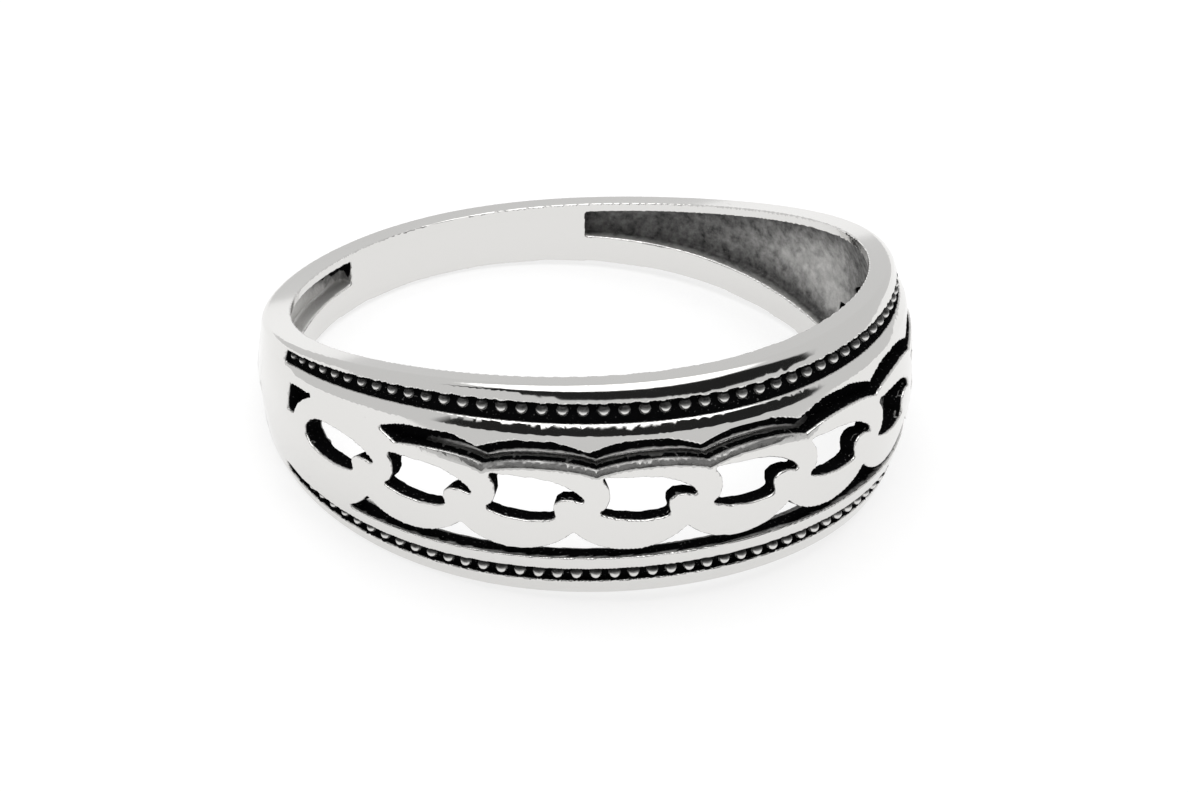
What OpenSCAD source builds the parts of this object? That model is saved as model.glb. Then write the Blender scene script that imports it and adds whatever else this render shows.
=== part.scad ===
// A finger ring cast in one piece: a domed band that flares from a narrow plain shank at the
// back to a wide front, where a flat curb chain of nine links lies between two rails in an
// openwork window, with a grooved row of beads and a rim above and below it.
// Millimetres. The ring is drawn about the finger axis, then laid down on its lower edge.

/* [Band] */
// Bore diameter, which sets the ring size
bore_d = 18.0; // [16:0.1:21]
// Wall thickness at the middle of the front
front_wall = 1.65; // [1.5:0.05:2]
// Wall thickness at the middle of the back
back_wall = 0.8; // [0.75:0.05:1.05]
// Width of the band at the front, along the finger
front_width = 6.9; // [6.4:0.1:7.4]
// Width of the band at the back
back_width = 1.85; // [1.6:0.05:2.4]
// Radius of the domed outer face, seen in section
dome_r = 7.4; // [6.8:0.1:8.5]
// Power that shapes how soon the band narrows toward the back
taper_power = 0.9; // [0.8:0.05:1]

/* [Hollow] */
// How far the inside of the band is hollowed beyond the bore
hollow_depth = 0.55; // [0.3:0.05:0.6]
// Thickness of the flange left above the hollow
upper_flange_t = 0.3; // [0.25:0.05:0.4]
// Thickness of the flange left below the hollow
lower_flange_t = 0.9; // [0.3:0.1:0.9]
// Angle from the back to the end of the hollow on the left
plain_angle_left = 26; // [20:1:40]
// Angle from the back to the end of the hollow on the right
plain_angle_right = 30; // [20:1:40]

/* [Bead rows] */
// Depth of the grooves that hold the beads
groove_depth = 0.3; // [0.2:0.05:0.35]
// Angle to which the grooves run on each side of the front
groove_half_angle = 93; // [80:1:100]
// Diameter of a bead at the middle of the front
bead_d = 0.36; // [0.3:0.01:0.38]
// How far up its groove each bead of the upper row lies
upper_bead_seat = 0.6; // [0.5:0.02:0.6]
// Number of beads in the upper row
upper_beads = 53; // [41:2:57]
// Number of beads in the lower row
lower_beads = 57; // [41:2:59]

/* [Chain] */
// Number of links, one of them at the middle of the front
link_count = 9; // [5:2:9]
// Angle from one link to the next
link_pitch = 18.6; // [18.2:0.1:19.2]
// Height of a link above its middle
link_upper_h = 1.37; // [1.3:0.01:1.45]
// Height of a link below its middle
link_lower_h = 1.57; // [1.45:0.01:1.6]
// How far the chain lies below the middle of the band
chain_drop = 0.08; // [0:0.01:0.12]
// How much higher the links at the ends of the chain lie
end_rise = 0.2; // [0:0.05:0.25]
// Sideways lean of a link's upper half one way and of its lower half the other
link_lean = 0.34; // [0.2:0.02:0.4]
// Thickness of the chain, which is relieved from behind
chain_t = 0.65; // [0.6:0.05:0.8]
// Depth of the blind slot above the chain
slot_depth = 0.6; // [0.4:0.05:0.7]
// How far the rail above the chain dips between two links
rail_dip = 0.32; // [0.16:0.02:0.36]

/* [Hidden] */

silver = [0.80, 0.80, 0.79];
round_fn = 180;
bore_r = bore_d / 2;
front_h = front_width / 2;
back_h = back_width / 2;

// The outer face turns about an axis moved forward, so the wall is thicker in front
outer_r = bore_r + (front_wall + back_wall) / 2;
axis_shift = (front_wall - back_wall) / 2;
front_r = outer_r + axis_shift;
back_r = outer_r - axis_shift;
// The width stays full over this depth at the front
full_width_depth = 1.1;

// The hollow turns about an axis moved forward by this much and is domed a little tighter
hollow_shift = 0.08;
hollow_dome_r = dome_r - 1;
// How far a bead's centre stands off the groove floor, as a share of its radius
bead_rise = 0.6;

outline_steps = 22;
lobe_steps = 20;
reach = outer_r + 4;
tall = 4 * front_h;
first_link = -(link_count - 1) / 2;
// The window runs past the middle of the last link by this angle, less on its short side
window_margin = 15;
window_short_margin = 9;
window_end = -first_link * link_pitch + window_margin;
window_short_end = -first_link * link_pitch + window_short_margin;
relief_end = -first_link * link_pitch + 6;

// Edges of the bands of the pattern and of the relief behind it, as shares of the band's half
// width: the share at the front, then how much it has changed at the side of the ring
upper_groove = [[0.68, 0.07], [0.85, 0.07]];
lower_groove = [[-0.83, -0.019], [-0.685, -0.021]];
upper_slot = [[0.19, 0], [0.545, 0]];
lower_gap = [[-0.56, -0.023], [-0.19, 0]];
relief = [[-0.63, 0.03], [0.13, 0]];

// Opening of a link: the next link's end covers its right side below a curved slit
eye_right = [[0.1, 0.86], [0.66, 0.78], [1.08, 0.63], [1.5, 0.38], [1.82, 0], [1.64, 0.1],
    [1.3, 0.21], [0.98, 0.2], [0.78, 0.06], [0.76, -0.15], [0.84, -0.42], [0.6, -0.5],
    [0, -0.54], [-0.7, -0.46]];
// The end of the link before covers its left side
eye_left = [[-1.34, -0.26], [-1.08, -0.08], [-0.97, 0.2], [-1, 0.55], [-1.22, 0.88],
    [-0.6, 0.88]];
// The first link shows its own rounded end there instead
eye_free_end = [[-1.2, -0.3], [-1.5, 0], [-1.5, 0.3], [-1.25, 0.62], [-0.9, 0.82],
    [-0.45, 0.88]];

// Half width of the band at a distance y behind the finger axis
function half_h(y) =
    let (t = (back_r - y) / (back_r + front_r - full_width_depth))
    let (s = pow(max(0, min(1, t)), taper_power))
    back_h + (front_h - back_h) * (1 - cos(180 * s)) / 2;

function edge_z(y, share) = half_h(y) * (share[0] + share[1] * (1 + y / outer_r));

function steps(from, to, count) = [for (i = [0 : count]) from + (to - from) * i / count];

// Distance from the finger axis to the outer face at an angle from the front and a height,
// with a depth below the face
function face_r(angle, z, depth) =
    let (r = outer_r - dome_r + sqrt(pow(dome_r - depth, 2) - z * z))
    axis_shift * cos(angle) + sqrt(r * r - pow(axis_shift * sin(angle), 2));

// How much lower the pattern is at a link than at the middle of the front
function link_scale(n) = half_h(-front_r * cos(n * link_pitch)) / front_h;

// How far the middle of a link lies from the middle of the band
function link_z(n) = end_rise * pow(abs(n / first_link), 6) - chain_drop;

// Outline of one half of a link, closed past the middle of the chain
function lobe(half_length, lean, half_height, power) =
    let (us = [for (a = steps(0, 180, lobe_steps)) -cos(a)])
    let (close = -sign(half_height) * 0.3)
    concat([[lean - half_length, close]],
        [for (u = us)
            [lean + half_length * u,
                half_height * pow(max(0, 1 - pow(abs(u), power)), 1 / power)]],
        [[lean + half_length, close]]);

upper_lobe = lobe(2.6, link_lean, link_upper_h, 2.3);
lower_lobe = lobe(2.05, -link_lean, -link_lower_h, 2);

// The first and last links are taller by these factors above and below, to reach the rails
end_stretch = [1.3, 1.42];

function stretched(outline, n, factor) =
    abs(n) == -first_link ? [for (p = outline) [p[0], factor * p[1]]] : outline;

// Where the rail dips to a point between two links, a little left of the notch between them,
// as a curve over this half width that runs on up past the top of the slot
dip_x = 0.1;
dip_half_w = 1.2;
dip_top = upper_slot[1][0] * front_h + chain_drop;
dip = concat([[dip_x - 1.2 * dip_half_w, dip_top + 0.15]],
    [for (t = steps(-0.9, 0.9, 8))
        [dip_x + dip_half_w * t, dip_top - rail_dip * pow(1 - abs(t), 1.5)]],
    [[dip_x + 1.2 * dip_half_w, dip_top + 0.15]]);

// Laid down, the ring touches the ground at its back and on the steepest line from there to
// the front of its lower edge
rest_tilt = max([for (y = steps(-front_r, 0, outline_steps))
    atan((half_h(y) - back_h) / (back_r - y))]);
rest_z = back_h * cos(rest_tilt) + back_r * sin(rest_tilt);
// Front and back of the ring once it is tilted, to centre it
laid_front_y = -(front_r - dome_r) * cos(rest_tilt) - dome_r;
laid_back_z = min(back_h, dome_r * sin(rest_tilt));
laid_back_y = (back_r - dome_r + sqrt(dome_r * dome_r - laid_back_z * laid_back_z))
    * cos(rest_tilt) + laid_back_z * sin(rest_tilt);
rest_y = -(laid_front_y + laid_back_y) / 2;

// A prism running from side to side of the ring, its lower and upper edges seen from the side
module side_prism(lower_zs, upper_zs) {
    ys = steps(-reach, reach, 2 * outline_steps);
    last = len(ys) - 1;
    rotate([90, 0, 90])
        linear_extrude(height = 2 * reach, center = true)
            polygon(concat(
                [for (i = [0 : last]) [ys[i], lower_zs[i]]],
                [for (i = [last : -1 : 0]) [ys[i], upper_zs[i]]]));
}

// Such a prism inside the band's own lower and upper edges by two thicknesses
module band_prism(lower_inset, upper_inset) {
    ys = steps(-reach, reach, 2 * outline_steps);
    side_prism([for (y = ys) lower_inset - half_h(y)], [for (y = ys) half_h(y) - upper_inset]);
}

// Such a prism between two edges of the pattern
module pattern_prism(edges) {
    ys = steps(-reach, reach, 2 * outline_steps);
    side_prism([for (y = ys) edge_z(y, edges[0])], [for (y = ys) edge_z(y, edges[1])]);
}

// A solid of revolution with a domed section, its axis moved forward by a shift
module domed_solid(r, dome, shift) {
    translate([0, -shift, 0])
        rotate_extrude($fn = round_fn)
            intersection() {
                translate([r - dome, 0])
                    circle(r = dome, $fn = round_fn);
                translate([0, -dome])
                    square([r + 1, 2 * dome]);
            }
}

// A wedge about the finger axis between two angles from the front
module sector(from, to) {
    linear_extrude(height = tall, center = true)
        polygon(concat([[0, 0]],
            [for (a = steps(from, to, 6)) 2 * reach * [sin(a), -cos(a)]]));
}

// Stands a flat outline up in the wall at a link, no taller than the band allows, and runs
// it out through the wall
module at_link(n, outline) {
    rotate([0, 0, n * link_pitch])
        translate([0, -bore_r / 2, 0])
            rotate([90, 0, 0])
                linear_extrude(height = reach)
                    polygon([for (p = outline) [p[0], p[1] * link_scale(n) + link_z(n)]]);
}

module plain_band() {
    difference() {
        intersection() {
            domed_solid(outer_r, dome_r, axis_shift);
            band_prism(0, 0);
        }
        cylinder(h = tall, r = bore_r, center = true, $fn = round_fn);
    }
}

module hollow() {
    intersection() {
        domed_solid(bore_r + hollow_depth, hollow_dome_r, hollow_shift);
        band_prism(lower_flange_t, upper_flange_t);
        sector(plain_angle_left - 180, 180 - plain_angle_right);
    }
}

module relief_behind_chain() {
    intersection() {
        domed_solid(outer_r - chain_t, dome_r - chain_t, axis_shift);
        pattern_prism(relief);
        sector(-relief_end, relief_end);
    }
}

module bead_groove(edges) {
    difference() {
        intersection() {
            pattern_prism(edges);
            sector(-groove_half_angle, groove_half_angle);
        }
        domed_solid(outer_r - groove_depth, dome_r, axis_shift);
    }
}

// A row of round beads set in a groove, smaller where the groove is narrower
module bead_row(edges, count, seat) {
    end_angle = groove_half_angle - 1.5;
    for (a = steps(-end_angle, end_angle, count - 1)) {
        y = -(outer_r - groove_depth) * cos(a);
        z = edge_z(y, edges[0]) * (1 - seat) + edge_z(y, edges[1]) * seat;
        r = bead_d / 2 * half_h(y) / front_h;
        rotate([0, 0, a])
            translate([0, -face_r(a, z, groove_depth - r * bead_rise), z])
                sphere(r = r, $fn = 24);
    }
}

module slot_above_chain() {
    difference() {
        intersection() {
            pattern_prism(upper_slot);
            sector(-window_end, window_short_end);
        }
        domed_solid(outer_r - slot_depth, dome_r, axis_shift);
        for (n = [first_link : -first_link])
            at_link(n, stretched(upper_lobe, n, end_stretch[0]));
        for (n = [first_link + 1 : -first_link])
            at_link(n - 0.5, dip);
    }
}

module gap_below_chain() {
    difference() {
        intersection() {
            pattern_prism(lower_gap);
            sector(-window_short_end, window_end);
        }
        for (n = [first_link : -first_link])
            at_link(n, stretched(lower_lobe, n, end_stretch[1]));
    }
}

module link_eyes() {
    at_link(first_link, concat(eye_right, eye_free_end));
    for (n = [first_link + 1 : -first_link])
        at_link(n, concat(eye_right, eye_left));
}

module ring_band() {
    color(silver)
        translate([0, rest_y, rest_z])
            rotate([-rest_tilt, 0, 0]) {
                difference() {
                    plain_band();
                    hollow();
                    relief_behind_chain();
                    bead_groove(upper_groove);
                    bead_groove(lower_groove);
                    slot_above_chain();
                    gap_below_chain();
                    link_eyes();
                }
                bead_row(upper_groove, upper_beads, upper_bead_seat);
                bead_row(lower_groove, lower_beads, 0.5);
            }
}

ring_band();
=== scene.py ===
"""A cast silver finger ring with an openwork curb chain, dressed over its CAD frame."""

import math

import bpy
import numpy as np
from mathutils import Matrix, Vector


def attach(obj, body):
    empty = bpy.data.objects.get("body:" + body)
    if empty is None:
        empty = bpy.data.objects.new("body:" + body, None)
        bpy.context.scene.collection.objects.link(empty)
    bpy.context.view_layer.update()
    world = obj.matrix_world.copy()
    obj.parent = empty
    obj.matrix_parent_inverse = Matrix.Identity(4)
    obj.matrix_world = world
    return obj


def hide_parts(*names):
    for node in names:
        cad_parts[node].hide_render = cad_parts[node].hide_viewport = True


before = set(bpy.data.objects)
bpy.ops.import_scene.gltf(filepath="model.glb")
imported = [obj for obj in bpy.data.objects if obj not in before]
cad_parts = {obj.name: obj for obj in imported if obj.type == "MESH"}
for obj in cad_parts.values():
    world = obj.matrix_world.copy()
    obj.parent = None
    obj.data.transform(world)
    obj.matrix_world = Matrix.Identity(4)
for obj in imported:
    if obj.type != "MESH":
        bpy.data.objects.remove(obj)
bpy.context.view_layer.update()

bl_info = {
    "name": "Pierced Chain Ring",
    "version": (1, 0, 0),
    "blender": (4, 5, 0),
    "location": "3D View > Sidebar > Ring",
    "description": "Models a cast silver ring with an openwork chain front",
    "category": "Object",
}

MM = 0.001

# Sizes of the casting in millimetres, as the CAD source has them
BORE_R = 9.0
FRONT_WALL = 1.65
BACK_WALL = 0.8
OUTER_R = BORE_R + (FRONT_WALL + BACK_WALL) / 2
AXIS_SHIFT = (FRONT_WALL - BACK_WALL) / 2
FRONT_R = OUTER_R + AXIS_SHIFT
BACK_R = OUTER_R - AXIS_SHIFT
DOME_R = 7.4
FRONT_H = 3.45
BACK_H = 0.925
FULL_WIDTH_DEPTH = 1.1
TAPER_POWER = 0.9
LINKS = range(-4, 5)
LINK_PITCH = math.radians(18.6)
LINK_UPPER_H = 1.37
END_STRETCH = 1.3
LINK_LEAN = 0.34
# Half length and roundness of a link's upper outline, and the angle on each side that it spans
LINK_HALF_L = 2.6
LINK_POWER = 2.3
LINK_SPAN = 0.3
CHAIN_DROP = 0.08
END_RISE = 0.2
END_RISE_POWER = 6
GROOVE_DEPTH = 0.3
GROOVE_END = math.radians(93)
BEAD_R = 0.18
BEAD_RISE = 0.6
UPPER_BEADS, UPPER_SEAT = 53, 0.6
LOWER_BEADS, LOWER_SEAT = 57, 0.5
# The rows end this far short of their grooves, and the beads cover the solid's own
ROW_MARGIN = math.radians(1.5)
BEAD_SWELL = 1.03
# Groove edges as shares of the half width: at the front, and their change by the side
UPPER_GROOVE = ((0.68, 0.07), (0.85, 0.07))
LOWER_GROOVE = ((-0.83, -0.019), (-0.685, -0.021))
# The hollowed inside: its radius, its own dome and shift, its flanges and its left end
HOLLOW = (BORE_R + 0.55, DOME_R - 1, 0.08)
UPPER_FLANGE = 0.3
LOWER_FLANGE = 0.9
HOLLOW_LEFT_END = -154

# What polishing wears off, in millimetres. The rims: their radius at the shank, and what is
# added to it at full width
RIM_ROUND = (0.12, 0.2)
# The bevels of the rail and of the links: width, drop, and the depth that they fade out at
RAIL_BEVEL_W, RAIL_BEVEL_DROP, RAIL_BEVEL_REACH = 0.32, 0.11, 0.28
LINK_BEVEL_W, LINK_BEVEL_DROP, LINK_BEVEL_REACH = 0.24, 0.12, 0.5
# How far past their upper edges the rail and the links count as bevelled, and the height in
# the middle of the front that the rail lies above
RAIL_MARGIN, LINK_MARGIN, RAIL_BASE = 0.05, 0.08, 1.5
# Slope that the upper rim is rubbed down to, from this far above the bead groove
RIM_SLOPE, RIM_START, RIM_REACH = 0.17, 0.06, 0.6

# Depths in millimetres over which the patina sets in: below the dome, below the sides and
# behind the bore, and in the bead grooves
DOME_PATINA = (0.03, 0.1)
EDGE_PATINA = (0.02, 0.06)
GROOVE_PATINA = (0.005, 0.03)
GROOVE_MARGIN = 0.01
# The painted highlights along the walls that face up: depth in the gap and in the eyes, and width
GAP_HIGHLIGHT, EYE_HIGHLIGHT, HIGHLIGHT_W = 0.09, 0.2, 0.03
# Patina in the hollow: away from its painted light patch, at the front, and as painted shade
# along its upper edge on the left
HOLLOW_RIGHT, HOLLOW_FRONT, HOLLOW_LEFT_SHADE = 0.84, 0.75, 0.7
# The painted light patch: how much lighter, and its middle and width as turns in degrees
PAINTED_LIGHT, PAINTED_LIGHT_TURN, PAINTED_LIGHT_W = 0.76, 97, 18
# Patina in the grooves and painted shade on the upper side of the beads, and how rough they are
BEAD_PATINA_AND_SHADE, BEAD_SKIN = 0.94, 0.15
# The meshes keep the patina divided by this, except where it is full, so that walls whose
# points lie far apart blacken at once
PATINA_RANGE = 3.0

# Radiance of the studio's walls, of its overhead light and of the dark flag over the camera
WALLS, OVERHEAD, FLAG = 0.75, 2.4, 0.02
# Direction of the flag, from the ring's front toward its left
FLAG_TURN = math.radians(-13)
# How much lower its bottom edge hangs on both sides of its middle
FLAG_SAG = 0.15
FLAG_MIDDLE = -0.28


def half_height(y):
    """Half width of the band at a distance y behind the finger axis."""
    t = (BACK_R - y) / (BACK_R + FRONT_R - FULL_WIDTH_DEPTH)
    s = np.clip(t, 0, 1) ** TAPER_POWER
    return BACK_H + (FRONT_H - BACK_H) * (1 - np.cos(np.pi * s)) / 2


def edge_height(y, share):
    """Height of a pattern edge at a distance y behind the finger axis."""
    return half_height(y) * (share[0] + share[1] * (1 + y / OUTER_R))


# The ring lies on its lower edge: it leans by the steepest line from the back to the front
SLOPES = [(half_height(y) - BACK_H) / (BACK_R - y) for y in np.linspace(-FRONT_R, 0, 23)]
TILT = math.atan(max(SLOPES))
LAID_FRONT = -(FRONT_R - DOME_R) * math.cos(TILT) - DOME_R
LAID_BACK = ((BACK_R - DOME_R + math.sqrt(DOME_R ** 2 - BACK_H ** 2)) * math.cos(TILT)
             + BACK_H * math.sin(TILT))
CENTRE = np.array((0, -(LAID_FRONT + LAID_BACK) / 2,
                   BACK_H * math.cos(TILT) + BACK_R * math.sin(TILT)))


def srgb(hex_code):
    """Linear RGBA of an sRGB hex colour such as "#c8c8c6"."""
    parts = [int(hex_code[i:i + 2], 16) / 255 for i in (1, 3, 5)]
    return [p / 12.92 if p <= 0.04045 else ((p + 0.055) / 1.055) ** 2.4 for p in parts] + [1.0]


def add_node(tree, kind, links=(), **settings):
    """Adds a node, sets its properties and sockets, and links (output, input name) pairs."""
    node = tree.nodes.new(kind)
    for name, value in settings.items():
        if hasattr(node, name):
            setattr(node, name, value)
        else:
            node.inputs[name.replace("_", " ")].default_value = value
    for output, name in links:
        tree.links.new(output, node.inputs[name])
    return node


# Turns directions about the finger axis to the frame's
LEAN = np.array(Matrix.Rotation(-TILT, 3, "X"))


def to_ring(points):
    """Frame points in millimetres to the ring's own axes, about the finger axis."""
    return (points - CENTRE) @ LEAN


def from_ring(points):
    """The ring's own axes back to the frame, in millimetres."""
    return points @ LEAN.T + CENTRE


def dome_depth(p, radius=OUTER_R, dome=DOME_R, shift=AXIS_SHIFT):
    """Depth of ring points below a domed face, and the outward direction there."""
    x, y = p[:, 0], p[:, 1] + shift
    side = np.hypot(x, y)
    across = side - (radius - dome)
    length = np.hypot(across, p[:, 2])
    radial = across / length / side
    return dome - length, np.column_stack((x * radial, y * radial, p[:, 2] / length))


def side_depth(p):
    """Depth of ring points below the band's upper or lower side face, and its direction."""
    step = 0.01
    y, up = p[:, 1], np.sign(p[:, 2])
    slope = (half_height(y + step) - half_height(y - step)) / (2 * step)
    length = np.hypot(slope, 1)
    outward = np.column_stack((np.zeros(len(p)), -slope / length, up / length))
    return (half_height(y) - np.abs(p[:, 2])) / length, outward


def bore_depth(p):
    """Depth of ring points behind the bore, and the direction that it faces."""
    r = np.hypot(p[:, 0], p[:, 1])
    return r - BORE_R, np.column_stack((-p[:, 0] / r, -p[:, 1] / r, np.zeros(len(p))))


def hollow_depth(p):
    """Depth of ring points behind the floor of the hollow, and the direction that it faces."""
    depth, outward = dome_depth(p, *HOLLOW)
    return -depth, -outward


# The faces of the casting that are put exactly in place
SURFACES = (dome_depth, bore_depth, side_depth, hollow_depth)


def smooth_step(x, low, high):
    """Rises smoothly from 0 at low to 1 at high, or falls where low is the greater."""
    t = np.clip((x - low) / (high - low), 0, 1)
    return t * t * (3 - 2 * t)


def bevel(distance, width, drop):
    """How far a flat bevel lies below a face, at a distance from the edge that it ends at."""
    x = 1 - distance / width
    return drop * (x + np.sqrt(x * x + 0.01)) / 2


def fade(depth, reach):
    """Share of the bevel that is left at a depth below the outer face."""
    return np.clip(1 - depth / reach, 0, 1)


def fillet(p, faces, radius):
    """Draws the ring points beyond a fillet between two faces back to it."""
    (u, first), (v, second) = faces
    c = np.sum(first * second, axis=1)
    a, b = radius - u, radius - v
    along_first = (a - c * b) / (1 - c * c)
    along_second = (b - c * a) / (1 - c * c)
    length = np.sqrt(np.maximum(a * a + b * b - 2 * c * a * b, 1e-12) / (1 - c * c))
    beyond = (along_first > 0) & (along_second > 0) & (length > radius)
    share = np.where(beyond, 1 - radius / length, 0)
    p -= (share * along_first)[:, None] * first + (share * along_second)[:, None] * second


def angle_of(p):
    """Angle of ring points about the finger axis, from the middle of the front to the right."""
    return np.arctan2(p[:, 0], -p[:, 1])


def in_band(p, edges):
    """Whether ring points lie between the two edges of a groove."""
    lower, upper = (edge_height(p[:, 1], share) for share in edges)
    return (p[:, 2] > lower + GROOVE_MARGIN) & (p[:, 2] < upper - GROOVE_MARGIN)


def link_tops(p):
    """Height of the chain's upper outline at each ring point, far below it beside the chain."""
    beside = -9.0
    angle = angle_of(p)
    best = np.full(len(p), beside)
    for n in LINKS:
        scale = half_height(-FRONT_R * math.cos(n * LINK_PITCH)) / FRONT_H
        across = np.abs(FRONT_R * np.sin(angle - n * LINK_PITCH) - LINK_LEAN) / LINK_HALF_L
        arch = np.clip(1 - across ** LINK_POWER, 0, 1) ** (1 / LINK_POWER)
        rise = END_RISE * abs(n / LINKS[0]) ** END_RISE_POWER - CHAIN_DROP
        top = LINK_UPPER_H * (END_STRETCH if n in (LINKS[0], LINKS[-1]) else 1)
        near = (np.abs(angle - n * LINK_PITCH) < LINK_SPAN) & (across < 1)
        best = np.maximum(best, np.where(near, top * scale * arch + rise, beside))
    return best


def rubbed_links(turn):
    """How much polishing has bevelled the links' tops at a turn in degrees about the axis."""
    return smooth_step(turn, -58, -44) * smooth_step(turn, 16, 2)


def read_points(mesh):
    """Places of a mesh's points."""
    points = np.empty(3 * len(mesh.vertices))
    mesh.vertices.foreach_get("co", points)
    return points.reshape(-1, 3)


def read_normals(mesh):
    """Normals at a mesh's points."""
    normals = np.empty(3 * len(mesh.vertices))
    mesh.vertex_normals.foreach_get("vector", normals)
    return normals.reshape(-1, 3)


def write_points(mesh, points):
    """Moves a mesh's points."""
    mesh.vertices.foreach_set("co", points.ravel())
    mesh.update()


def apply_modifier(obj, kind, **settings):
    """Adds a modifier with its settings to the active object and applies it."""
    modifier = obj.modifiers.new(kind.title(), kind)
    for name, value in settings.items():
        setattr(modifier, name, value)
    bpy.ops.object.modifier_apply(modifier=modifier.name)


def make_active(obj):
    """Selects one object alone and makes it active."""
    bpy.ops.object.select_all(action="DESELECT")
    obj.select_set(True)
    bpy.context.view_layer.objects.active = obj


# The silver that both pieces share, once it is made
SHARED = {}
# Plain are the points along whose edges the normals and the kept patina change less
BEND_LIMIT = 1e-3
PATINA_LIMIT = 0.1
# Points count as worn once polishing has moved them this far
WORN_LIMIT = 3e-4
# A corner takes a face's exact normal this near to it, where its triangle faces the same way
ON_FACE = 0.006
SAME_WAY = 0.94


class RingFinish(bpy.types.PropertyGroup):
    polish: bpy.props.FloatVectorProperty(
        name="Polish", description="Colour of the polished silver", subtype="COLOR", size=4,
        default=srgb("#dddcda"))
    blackening: bpy.props.FloatVectorProperty(
        name="Blackening", description="Colour of the blackened silver in the recesses",
        subtype="COLOR", size=4, default=srgb("#0e0e0f"))


class RingShaping(bpy.types.PropertyGroup):
    voxel: bpy.props.FloatProperty(
        name="Voxel", description="Grain of the remeshed casting, in millimetres", default=0.05)
    softening: bpy.props.IntProperty(
        name="Softening", description="Smoothing passes that wear the cast edges", default=4)
    triangles: bpy.props.IntProperty(
        name="Triangles", description="Most triangles that the band may have", default=190000)


class RingView(bpy.types.PropertyGroup):
    azimuth: bpy.props.FloatProperty(
        name="Azimuth", description="Camera's turn about the finger axis",
        subtype="ANGLE", unit="ROTATION", default=math.radians(-28.9))
    elevation: bpy.props.FloatProperty(
        name="Elevation", description="Camera's height over the ring's middle plane",
        subtype="ANGLE", unit="ROTATION", default=math.radians(26.0))
    roll: bpy.props.FloatProperty(
        name="Roll", description="Camera's roll", subtype="ANGLE", unit="ROTATION",
        default=math.radians(-0.216))
    distance: bpy.props.FloatProperty(
        name="Distance", description="Camera to the ring's centre", subtype="DISTANCE",
        unit="LENGTH", default=0.150)
    aside: bpy.props.FloatProperty(
        name="Aside", description="Ring's centre to the right of the view's middle",
        subtype="DISTANCE", unit="LENGTH", default=-0.4556 * MM)
    above: bpy.props.FloatProperty(
        name="Above", description="Ring's centre above the view's middle",
        subtype="DISTANCE", unit="LENGTH", default=1.4565 * MM)
    lens: bpy.props.FloatProperty(
        name="Lens", description="Focal length on a 36 mm sensor, in millimetres",
        default=144.96)


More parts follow.
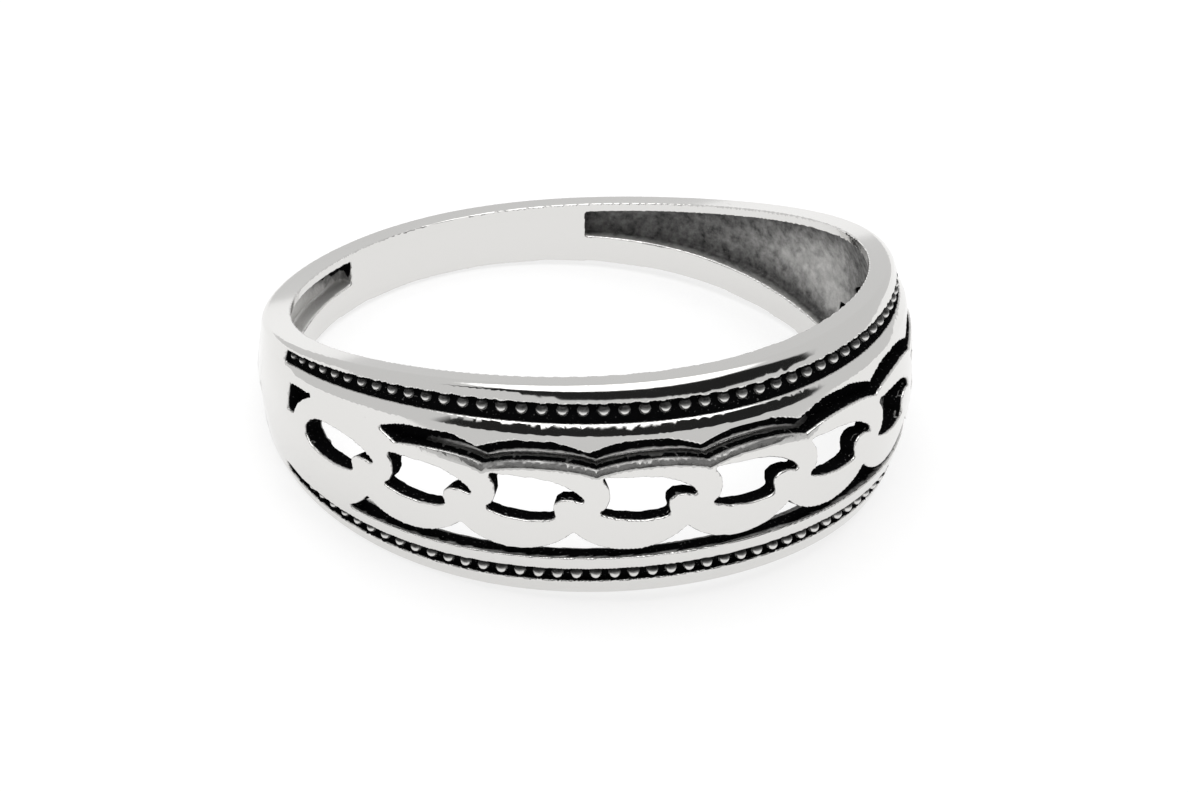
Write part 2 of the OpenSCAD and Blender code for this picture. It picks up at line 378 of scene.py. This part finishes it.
def silver_material(finish):
    """Sterling silver, cast, blackened with liver of sulphur and polished back.

    What stands out is a soft mirror. What is sunk keeps a black sulphide, dull and not
    metallic, mottled where it is half worn and rubbed bright in specks, over the grainy
    skin of the casting, which blurs what it mirrors.
    """
    material = bpy.data.materials.new("blackened_polished_silver")
    material.use_nodes = True
    tree = material.node_tree
    tree.nodes.clear()
    # The point attribute holds the patina, with painted shade and painted highlights worked into
    # it
    kept_patina_and_shading = add_node(tree, "ShaderNodeAttribute", attribute_name="patina_and_shading")
    patina_and_shading = add_node(tree, "ShaderNodeMath", [(kept_patina_and_shading.outputs["Fac"], 0)],
                      operation="MULTIPLY", use_clamp=True)
    patina_and_shading.inputs[1].default_value = PATINA_RANGE
    skin = add_node(tree, "ShaderNodeAttribute", attribute_name="cast_skin")
    place = add_node(tree, "ShaderNodeTexCoord")
    on_piece = [(place.outputs["Object"], "Vector")]
    # Patches of patina about 0.3 mm wide, specks about 0.08 mm and cast grains of 0.06 mm
    patches = add_node(tree, "ShaderNodeTexNoise", on_piece, Scale=1 / (0.3 * MM), Detail=4.0,
                       Roughness=0.65)
    specks = add_node(tree, "ShaderNodeTexNoise", on_piece, Scale=1 / (0.08 * MM), Detail=2.0)
    grains = add_node(tree, "ShaderNodeTexNoise", on_piece, Scale=1 / (0.06 * MM), Detail=2.0)
    # Where the patina is half worn, the patches sway it most
    worn = add_node(tree, "ShaderNodeMath", [(patina_and_shading.outputs["Value"], 1)], operation="SUBTRACT")
    worn.inputs[0].default_value = 1.0
    half_worn = add_node(tree, "ShaderNodeMath", [(patina_and_shading.outputs["Value"], 0),
                                                  (worn.outputs["Value"], 1)],
                         operation="MULTIPLY")
    sway = add_node(tree, "ShaderNodeMapRange", [(patches.outputs["Fac"], "Value")],
                    From_Min=0.3, From_Max=0.7, To_Min=-0.9, To_Max=0.9)
    kept = add_node(tree, "ShaderNodeMapRange", [(specks.outputs["Fac"], "Value")],
                    From_Min=0.66, From_Max=0.76, To_Min=1.0, To_Max=0.85)
    black = add_node(tree, "ShaderNodeMath", [(half_worn.outputs["Value"], 0),
                                              (sway.outputs["Result"], 1),
                                              (patina_and_shading.outputs["Value"], 2)],
                     operation="MULTIPLY_ADD", use_clamp=True)
    black = add_node(tree, "ShaderNodeMath", [(black.outputs["Value"], 0),
                                              (kept.outputs["Result"], 1)],
                     operation="MULTIPLY", use_clamp=True)
    colour = add_node(tree, "ShaderNodeMix", [(black.outputs["Value"], "Factor")],
                      data_type="RGBA")
    colour.inputs["A"].default_value = finish.polish
    colour.inputs["B"].default_value = finish.blackening
    metallic = add_node(tree, "ShaderNodeMapRange", [(black.outputs["Value"], "Value")],
                        To_Min=1.0, To_Max=0.0)
    gloss = add_node(tree, "ShaderNodeMapRange", [(black.outputs["Value"], "Value")],
                     To_Min=0.5, To_Max=0.0)
    roughness = add_node(tree, "ShaderNodeMapRange", [(skin.outputs["Fac"], "Value")],
                         To_Min=0.08, To_Max=0.55)
    relief = add_node(tree, "ShaderNodeMath", [(grains.outputs["Fac"], 0),
                                               (skin.outputs["Fac"], 1)],
                      operation="MULTIPLY")
    bump = add_node(tree, "ShaderNodeBump", [(relief.outputs["Value"], "Height")],
                    Strength=0.6, Distance=0.03 * MM)
    shader = add_node(tree, "ShaderNodeBsdfPrincipled",
                      [(colour.outputs["Result"], "Base Color"),
                       (metallic.outputs["Result"], "Metallic"),
                       (gloss.outputs["Result"], "Specular IOR Level"),
                       (roughness.outputs["Result"], "Roughness"),
                       (bump.outputs["Normal"], "Normal")])
    add_node(tree, "ShaderNodeOutputMaterial", [(shader.outputs["BSDF"], "Surface")])
    return material


def dress(piece, context):
    """Gives a finished piece its silver and its place in the frame."""
    if "silver" not in SHARED:
        SHARED["silver"] = silver_material(context.scene.ring_finish)
    piece.data.materials.clear()
    piece.data.materials.append(SHARED["silver"])
    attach(piece, "root")
    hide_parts("ring_band")


def stored(patina_and_shading):
    """Patina, with the painted shade and painted highlights, as the meshes keep it."""
    full = smooth_step(patina_and_shading, 0.96, 1)
    return (patina_and_shading + (PATINA_RANGE - 1) * full) / PATINA_RANGE


def write_attribute(mesh, name, values):
    """Writes one number per point, which the material reads by its name."""
    layer = mesh.attributes.new(name, "FLOAT", "POINT")
    layer.data.foreach_set("value", values)


class RING_OT_band(bpy.types.Operator):
    """Casts the band: the frame's solid with its edges worn soft and its faces trued"""
    bl_idname = "ring.band"
    bl_label = "Pierced band"

    def execute(self, context):
        shaping = context.scene.ring_shaping
        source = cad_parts["ring_band"]
        mesh = source.data.copy()
        mesh.name = "pierced_band"
        mesh.transform(Matrix.Scale(1 / MM, 4))
        band = bpy.data.objects.new("pierced_band", mesh)
        context.scene.collection.objects.link(band)
        make_active(band)
        bpy.ops.object.mode_set(mode="EDIT")
        bpy.ops.mesh.select_all(action="SELECT")
        bpy.ops.mesh.remove_doubles(threshold=0.0005)
        bpy.ops.object.mode_set(mode="OBJECT")
        apply_modifier(band, "REMESH", mode="VOXEL", voxel_size=shaping.voxel)
        apply_modifier(band, "SMOOTH", factor=0.5, iterations=shaping.softening)
        self.true_faces(band.data)
        self.mark_skin(band.data)
        worn = self.wear_edges(band.data)
        bpy.ops.object.shade_smooth()
        self.thin_out(band, shaping.triangles, worn)
        normals = self.true_shading(band.data)
        band.data.transform(Matrix.Scale(MM, 4))
        band.data.normals_split_custom_set(normals.tolist())
        dress(band, context)
        return {"FINISHED"}

    @staticmethod
    def true_faces(mesh):
        """Puts what lies within a hair of one of the casting's faces exactly on it."""
        near, far = 0.008, 0.03
        p = to_ring(read_points(mesh))
        for surface in SURFACES:
            depth, outward = surface(p)
            p += outward * (depth * (1 - smooth_step(np.abs(depth), near, far)))[:, None]
        write_points(mesh, from_ring(p))

    @staticmethod
    def mark_skin(mesh):
        """Writes how black each point is, from its patina and from painted shade and painted
        highlights, and how rough from the casting it is.
        """
        p = to_ring(read_points(mesh))
        y, z = p[:, 1], p[:, 2]
        turn = np.degrees(angle_of(p))
        depth, _ = dome_depth(p)
        inset, _ = side_depth(p)
        behind, _ = bore_depth(p)
        sunk = (smooth_step(depth, *DOME_PATINA) * smooth_step(inset, *EDGE_PATINA)
                * smooth_step(behind, *EDGE_PATINA))
        # Nothing rubs between the beads and the rims
        in_groove = in_band(p, UPPER_GROOVE) | in_band(p, LOWER_GROOVE)
        in_groove &= (np.abs(turn) < 92) & (depth < GROOVE_DEPTH + 0.1)
        sunk = np.maximum(sunk, in_groove * smooth_step(depth, *GROOVE_PATINA))
        # The bevel along the tops of the links is painted a little dark, most at its upper edge,
        # as painted shade that dims its highlight
        tops = link_tops(p)
        rubbed = rubbed_links(turn)
        bevelled = rubbed * (z > 0) * (z < tops + LINK_MARGIN) * (depth < 0.1)
        patina_and_shading = np.maximum(sunk, 0.6 * bevelled * (1 - smooth_step(tops - z, 0.06, 0.24)))
        # The slot's inner corner below them gets a painted highlight, with its patina taken off
        corner_highlight = (rubbed * smooth_step(depth, 0.3, 0.42)
                  * smooth_step(np.abs(z - tops), 0.15, 0.08))
        patina_and_shading *= 1 - 0.95 * corner_highlight * (z > 0)
        # A painted highlight runs along the lower walls of the eyes and of the gap below the
        # chain, where they face up
        share = z / half_height(y)
        facing_up = smooth_step((read_normals(mesh) @ LEAN)[:, 2], 0.3, 0.7)
        middle = np.where(share < -0.5, GAP_HIGHLIGHT, EYE_HIGHLIGHT) + 0.012 * np.sin(1.7 * turn)
        wall_highlight = np.exp(-((depth - middle) / HIGHLIGHT_W) ** 2) * facing_up * (share > -0.62)
        patina_and_shading *= 1 - (0.75 + 0.2 * np.sin(2.9 * turn)) * wall_highlight * (share < 0.3)
        # The hollow keeps its patina, lightened on the right by a painted light patch that fades
        # by its edges
        below = half_height(y) - z - UPPER_FLANGE
        above = half_height(y) + z - LOWER_FLANGE
        rim = 1 - smooth_step(np.minimum(below, above), 0.05, 0.9)
        painted_light = np.exp(-((turn - PAINTED_LIGHT_TURN) / PAINTED_LIGHT_W) ** 2) * smooth_step(turn, 79, 92)
        right = HOLLOW_RIGHT - PAINTED_LIGHT * painted_light * (1 - rim)
        # On the left only painted shade along the upper edge is left, and the left end is darker
        end = 1 - smooth_step(turn - HOLLOW_LEFT_END, 3, 14)
        left = HOLLOW_LEFT_SHADE * (1 - smooth_step(below, 0.05, 0.5)) + 0.6 * end * (z > 0)
        to_right, to_left = smooth_step(turn, 20, 70), smooth_step(turn, -60, -90)
        kept = (HOLLOW_FRONT * (1 - to_right) * (1 - to_left) + right * to_right
                + left * to_left)
        # The lower wall is painted lighter towards the bore, as light from above falls on it
        kept = np.minimum(kept, 1) * np.where(above < 0.05, smooth_step(behind, 0, 0.25), 1)
        hollow = smooth_step(-hollow_depth(p)[0], -0.05, -0.01)
        patina_and_shading *= 1 - hollow * (1 - kept)
        # The relief behind the chain is worn a little too
        patina_and_shading *= 1 - 0.2 * smooth_step(depth, 0.6, 0.66) * (1 - hollow) * (np.abs(share) < 0.66)
        write_attribute(mesh, "patina_and_shading", stored(patina_and_shading))
        write_attribute(mesh, "cast_skin", sunk * (1 - 0.6 * corner_highlight))

    @staticmethod
    def wear_edges(mesh):
        """Rounds the rims and bevels the rail and the links; returns which points that moves."""
        p = to_ring(read_points(mesh))
        before = p.copy()
        size = half_height(p[:, 1]) / FRONT_H
        fillet(p, (side_depth(p), dome_depth(p)), RIM_ROUND[0] + RIM_ROUND[1] * size)
        depth, _ = dome_depth(p)
        y, z = p[:, 1], p[:, 2]
        angle = angle_of(p)
        front = smooth_step(GROOVE_END - np.abs(angle), -0.1, 0.1)
        rail_top = edge_height(y, UPPER_GROOVE[0])
        on_rail = front * (z < rail_top + RAIL_MARGIN) * (z > RAIL_BASE * size)
        sink = (on_rail * bevel(np.abs(rail_top - z), RAIL_BEVEL_W * size, RAIL_BEVEL_DROP)
                * fade(depth, RAIL_BEVEL_REACH))
        tops = link_tops(p)
        turn = np.degrees(angle)
        on_link = rubbed_links(turn) * (z < tops + LINK_MARGIN) * (z > 0)
        sink += (on_link * bevel(np.abs(tops - z), LINK_BEVEL_W, LINK_BEVEL_DROP)
                 * fade(depth, LINK_BEVEL_REACH))
        # The upper rim is rubbed down a little more to the right of the middle
        rubbed = smooth_step(turn, -50, -10) * smooth_step(turn, 60, 30)
        above = np.maximum(z - edge_height(y, UPPER_GROOVE[1]) - RIM_START, 0)
        sink += RIM_SLOPE * rubbed * above * fade(depth, RIM_REACH)
        p[:, :2] *= (1 - sink / np.hypot(p[:, 0], y))[:, None]
        write_points(mesh, from_ring(p))
        return np.abs(p - before).max(axis=1) > WORN_LIMIT

    @staticmethod
    def thin_out(band, triangles, worn):
        """Thins the plain faces out, and then the rest as far as the limit asks."""
        mesh = band.data
        ends = np.empty(2 * len(mesh.edges), int)
        mesh.edges.foreach_get("vertices", ends)
        a, b = ends.reshape(-1, 2).T
        normals = read_normals(mesh)
        bend = 1 - np.sum(normals[a] * normals[b], axis=1)
        patina_and_shading = np.empty(len(mesh.vertices))
        mesh.attributes["patina_and_shading"].data.foreach_get("value", patina_and_shading)
        busy = (bend > BEND_LIMIT) | (np.abs(patina_and_shading[a] - patina_and_shading[b]) > PATINA_LIMIT)
        keep = worn.copy()
        keep[a[busy]] = keep[b[busy]] = True
        group = band.vertex_groups.new(name="plain")
        group.add(np.flatnonzero(~keep).tolist(), 1.0, "REPLACE")
        for name in ("plain", ""):
            count = sum(len(p.vertices) - 2 for p in band.data.polygons)
            apply_modifier(band, "DECIMATE", ratio=min(1, triangles / count), vertex_group=name,
                           use_collapse_triangulate=True)
        band.vertex_groups.clear()

    @staticmethod
    def true_shading(mesh):
        """Corner normals, exact where a triangle lies on one of the casting's faces."""
        p = to_ring(read_points(mesh))
        corners = np.empty(len(mesh.loops), int)
        mesh.loops.foreach_get("vertex_index", corners)
        shade = np.empty(3 * len(corners))
        mesh.corner_normals.foreach_get("vector", shade)
        shade = shade.reshape(-1, 3)
        flat = np.empty(3 * len(mesh.polygons))
        mesh.polygons.foreach_get("normal", flat)
        flat = np.repeat(flat.reshape(-1, 3), 3, axis=0)
        for surface in SURFACES:
            depth, outward = surface(p)
            outward = (outward @ LEAN.T)[corners]
            same_way = np.sum(outward * flat, axis=1) > SAME_WAY
            on_face = (np.abs(depth) < ON_FACE)[corners] & same_way
            shade[on_face] = outward[on_face]
        return shade


class RING_OT_beads(bpy.types.Operator):
    """Sets the two rows of round beads in their grooves"""
    bl_idname = "ring.beads"
    bl_label = "Bead rows"

    def execute(self, context):
        bpy.ops.object.select_all(action="DESELECT")
        bpy.ops.mesh.primitive_uv_sphere_add(segments=16, ring_count=10, radius=1.0)
        first = bpy.context.object
        first.name = first.data.name = "bead_rows"
        bpy.ops.object.shade_smooth()
        shape = first.data.copy()
        places = [*self.row(UPPER_GROOVE, UPPER_BEADS, UPPER_SEAT),
                  *self.row(LOWER_GROOVE, LOWER_BEADS, LOWER_SEAT)]
        for place in places[1:]:
            bead = bpy.data.objects.new("bead", shape.copy())
            context.scene.collection.objects.link(bead)
            bead.data.transform(place)
            bead.select_set(True)
        first.data.transform(places[0])
        bpy.ops.object.join()
        # The beads keep patina in the groove and are painted dark on their upper sides as shade;
        # where they face down they stay polished
        depth, _ = dome_depth(to_ring(read_points(first.data) / MM))
        upper = smooth_step((read_normals(first.data) @ LEAN)[:, 2], -0.15, 0.3)
        black = np.maximum(smooth_step(depth, 0.08, 0.24), upper)
        write_attribute(first.data, "patina_and_shading", stored(BEAD_PATINA_AND_SHADE * black))
        write_attribute(first.data, "cast_skin", np.full(len(depth), BEAD_SKIN))
        dress(first, context)
        return {"FINISHED"}

    @staticmethod
    def row(edges, count, seat):
        """Where each bead of a row goes, with its size."""
        end = GROOVE_END - ROW_MARGIN
        for angle in np.linspace(-end, end, count):
            y = -(OUTER_R - GROOVE_DEPTH) * math.cos(angle)
            z = edge_height(y, edges[0]) * (1 - seat) + edge_height(y, edges[1]) * seat
            size = BEAD_R * half_height(y) / FRONT_H
            depth = GROOVE_DEPTH - size * BEAD_RISE
            section = OUTER_R - DOME_R + math.sqrt((DOME_R - depth) ** 2 - z * z)
            r = (AXIS_SHIFT * math.cos(angle)
                 + math.sqrt(section ** 2 - (AXIS_SHIFT * math.sin(angle)) ** 2))
            place = from_ring(np.array([[r * math.sin(angle), -r * math.cos(angle), z]]))[0]
            yield Matrix.Translation(place * MM) @ Matrix.Scale(BEAD_SWELL * size * MM, 4)


class RING_OT_stage(bpy.types.Operator):
    """Sets the pale floor, the soft lights and the camera"""
    bl_idname = "ring.stage"
    bl_label = "Floor, lights and camera"

    def execute(self, context):
        self.floor()
        self.surroundings(context.scene)
        self.camera(context.scene)
        context.scene.view_settings.view_transform = "Standard"
        return {"FINISHED"}

    @staticmethod
    def floor():
        bpy.ops.mesh.primitive_plane_add(size=2.0, location=(0, 0, 0))
        floor = bpy.context.object
        floor.name = "floor"
        # An acrylic sheet lit from below keeps the shadow under the ring faint
        material = bpy.data.materials.new("backlit_white_acrylic")
        material.use_nodes = True
        shader = material.node_tree.nodes["Principled BSDF"]
        shader.inputs["Base Color"].default_value = srgb("#a0a0a0")
        shader.inputs["Roughness"].default_value = 0.9
        shader.inputs["Emission Color"].default_value = srgb("#ffffff")
        shader.inputs["Emission Strength"].default_value = 0.68
        floor.data.materials.append(material)

    @staticmethod
    def surroundings(scene):
        world = bpy.data.worlds.new("studio")
        scene.world = world
        world.use_nodes = True
        tree = world.node_tree
        tree.nodes.clear()
        place = add_node(tree, "ShaderNodeTexCoord")
        split = add_node(tree, "ShaderNodeSeparateXYZ", [(place.outputs["Generated"], "Vector")])
        overhead = add_node(tree, "ShaderNodeMapRange", [(split.outputs["Z"], "Value")],
                            interpolation_type="SMOOTHSTEP", From_Min=0.82, From_Max=0.9,
                            To_Min=WALLS, To_Max=OVERHEAD)
        # A dark flag hangs over the camera between two heights, on the ring's front side
        offset = add_node(tree, "ShaderNodeMath", [(split.outputs["X"], 0)], operation="SUBTRACT")
        offset.inputs[1].default_value = FLAG_MIDDLE
        aside = add_node(tree, "ShaderNodeMath", [(offset.outputs["Value"], 0)],
                         operation="ABSOLUTE")
        height = add_node(tree, "ShaderNodeMath", [(aside.outputs["Value"], 0),
                                                   (split.outputs["Z"], 2)],
                          operation="MULTIPLY_ADD")
        height.inputs[1].default_value = FLAG_SAG
        rise = add_node(tree, "ShaderNodeMapRange", [(height.outputs["Value"], "Value")],
                        interpolation_type="SMOOTHSTEP", From_Min=0.57, From_Max=0.61)
        fall = add_node(tree, "ShaderNodeMapRange", [(split.outputs["Z"], "Value")],
                        interpolation_type="SMOOTHSTEP", From_Min=0.84, From_Max=0.80)
        facing = add_node(tree, "ShaderNodeVectorMath", [(place.outputs["Generated"], 0)],
                          operation="DOT_PRODUCT")
        facing.inputs[1].default_value = (math.sin(FLAG_TURN), -math.cos(FLAG_TURN), 0)
        ahead = add_node(tree, "ShaderNodeMapRange", [(facing.outputs["Value"], "Value")],
                         interpolation_type="SMOOTHSTEP", From_Min=0.12, From_Max=0.22)
        band = add_node(tree, "ShaderNodeMath",
                        [(rise.outputs["Result"], 0), (fall.outputs["Result"], 1)],
                        operation="MULTIPLY")
        flag = add_node(tree, "ShaderNodeMath",
                        [(band.outputs["Value"], 0), (ahead.outputs["Result"], 1)],
                        operation="MULTIPLY")
        light = add_node(tree, "ShaderNodeMix", [(flag.outputs["Value"], "Factor"),
                                                 (overhead.outputs["Result"], "A")],
                         data_type="FLOAT")
        light.inputs["B"].default_value = FLAG
        sky = add_node(tree, "ShaderNodeBackground", [(light.outputs["Result"], "Strength")])
        sky.inputs["Color"].default_value = (1, 1, 1, 1)
        add_node(tree, "ShaderNodeOutputWorld", [(sky.outputs["Background"], "Surface")])

    @staticmethod
    def camera(scene):
        view = scene.ring_view
        az, el, roll = view.azimuth, view.elevation, view.roll
        toward = Vector((math.sin(az) * math.cos(el), -math.cos(az) * math.cos(el), math.sin(el)))
        right = Vector((math.cos(az), math.sin(az), 0))
        up = toward.cross(right)
        turned = math.cos(roll) * right + math.sin(roll) * up
        raised = math.cos(roll) * up - math.sin(roll) * right
        turn = Matrix(LEAN)
        toward, turned, raised = turn @ toward, turn @ turned, turn @ raised
        data = bpy.data.cameras.new("camera")
        data.lens = view.lens
        data.sensor_width = 36
        data.clip_start = 0.005
        data.dof.use_dof = False
        camera = bpy.data.objects.new("camera", data)
        scene.collection.objects.link(camera)
        axes = Matrix((turned, raised, toward)).transposed()
        place = (Vector(CENTRE * MM) + view.distance * toward
                 - view.aside * turned - view.above * raised)
        camera.matrix_world = Matrix.Translation(place) @ axes.to_4x4()
        scene.camera = camera


class RING_PT_panel(bpy.types.Panel):
    """Lists the ring's pieces"""
    bl_label = "Pierced chain ring"
    bl_idname = "RING_PT_panel"
    bl_space_type = "VIEW_3D"
    bl_region_type = "UI"
    bl_category = "Ring"

    def draw(self, context):
        for operator in OPERATORS:
            self.layout.operator(operator.bl_idname)


GROUPS = {"ring_finish": RingFinish, "ring_shaping": RingShaping, "ring_view": RingView}
OPERATORS = (RING_OT_band, RING_OT_beads, RING_OT_stage)


def register():
    for cls in (*GROUPS.values(), *OPERATORS, RING_PT_panel):
        bpy.utils.register_class(cls)
    for name, group in GROUPS.items():
        setattr(bpy.types.Scene, name, bpy.props.PointerProperty(type=group))


def unregister():
    for name in GROUPS:
        delattr(bpy.types.Scene, name)
    for cls in reversed((*GROUPS.values(), *OPERATORS, RING_PT_panel)):
        bpy.utils.unregister_class(cls)


def main():
    register()
    bpy.ops.ring.band()
    bpy.ops.ring.beads()
    bpy.ops.ring.stage()


if __name__ == "__main__":
    main()
